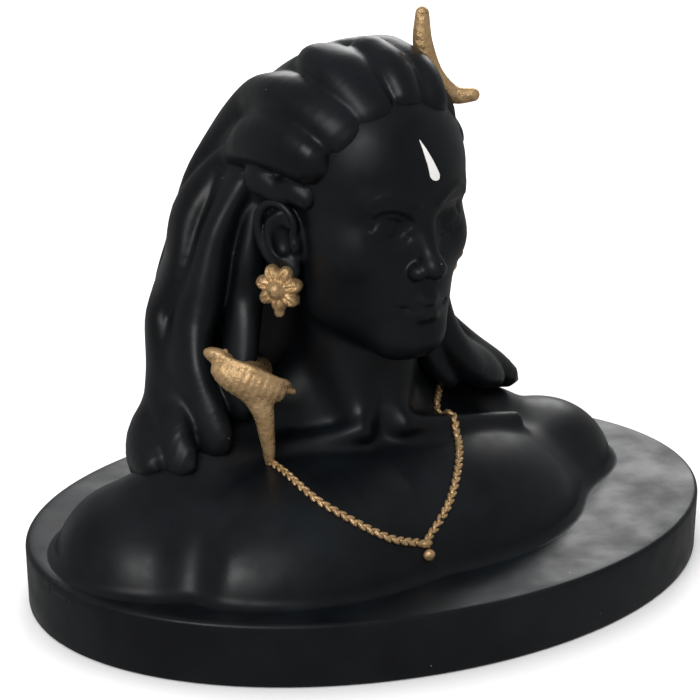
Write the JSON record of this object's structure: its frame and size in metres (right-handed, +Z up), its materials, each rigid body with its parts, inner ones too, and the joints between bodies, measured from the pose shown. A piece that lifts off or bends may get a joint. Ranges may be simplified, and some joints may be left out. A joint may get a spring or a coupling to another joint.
{
  "type": "shiva bust",
  "caption": "Black resin bust of a meditating deity with matted locks, crescent, cobra and chain, on an oval plinth.",
  "frame": {"origin": "middle of the plinth's underside", "axes": "+Z up, -Y the way the bust faces, +X to the bust's own left"},
  "size_m": [0.14, 0.098, 0.1111],
  "materials": {
    "plinth": "satin black paint on cast resin, with rubbed edges",
    "bust": "satin black paint on cast resin",
    "gold_paint": "crinkled gold leaf paint on the crescent, cobra, earrings and chain"
  },
  "bodies": {
    "root": {"plinth": "plinth", "bust": "bust"}
  },
  "joints": []
}
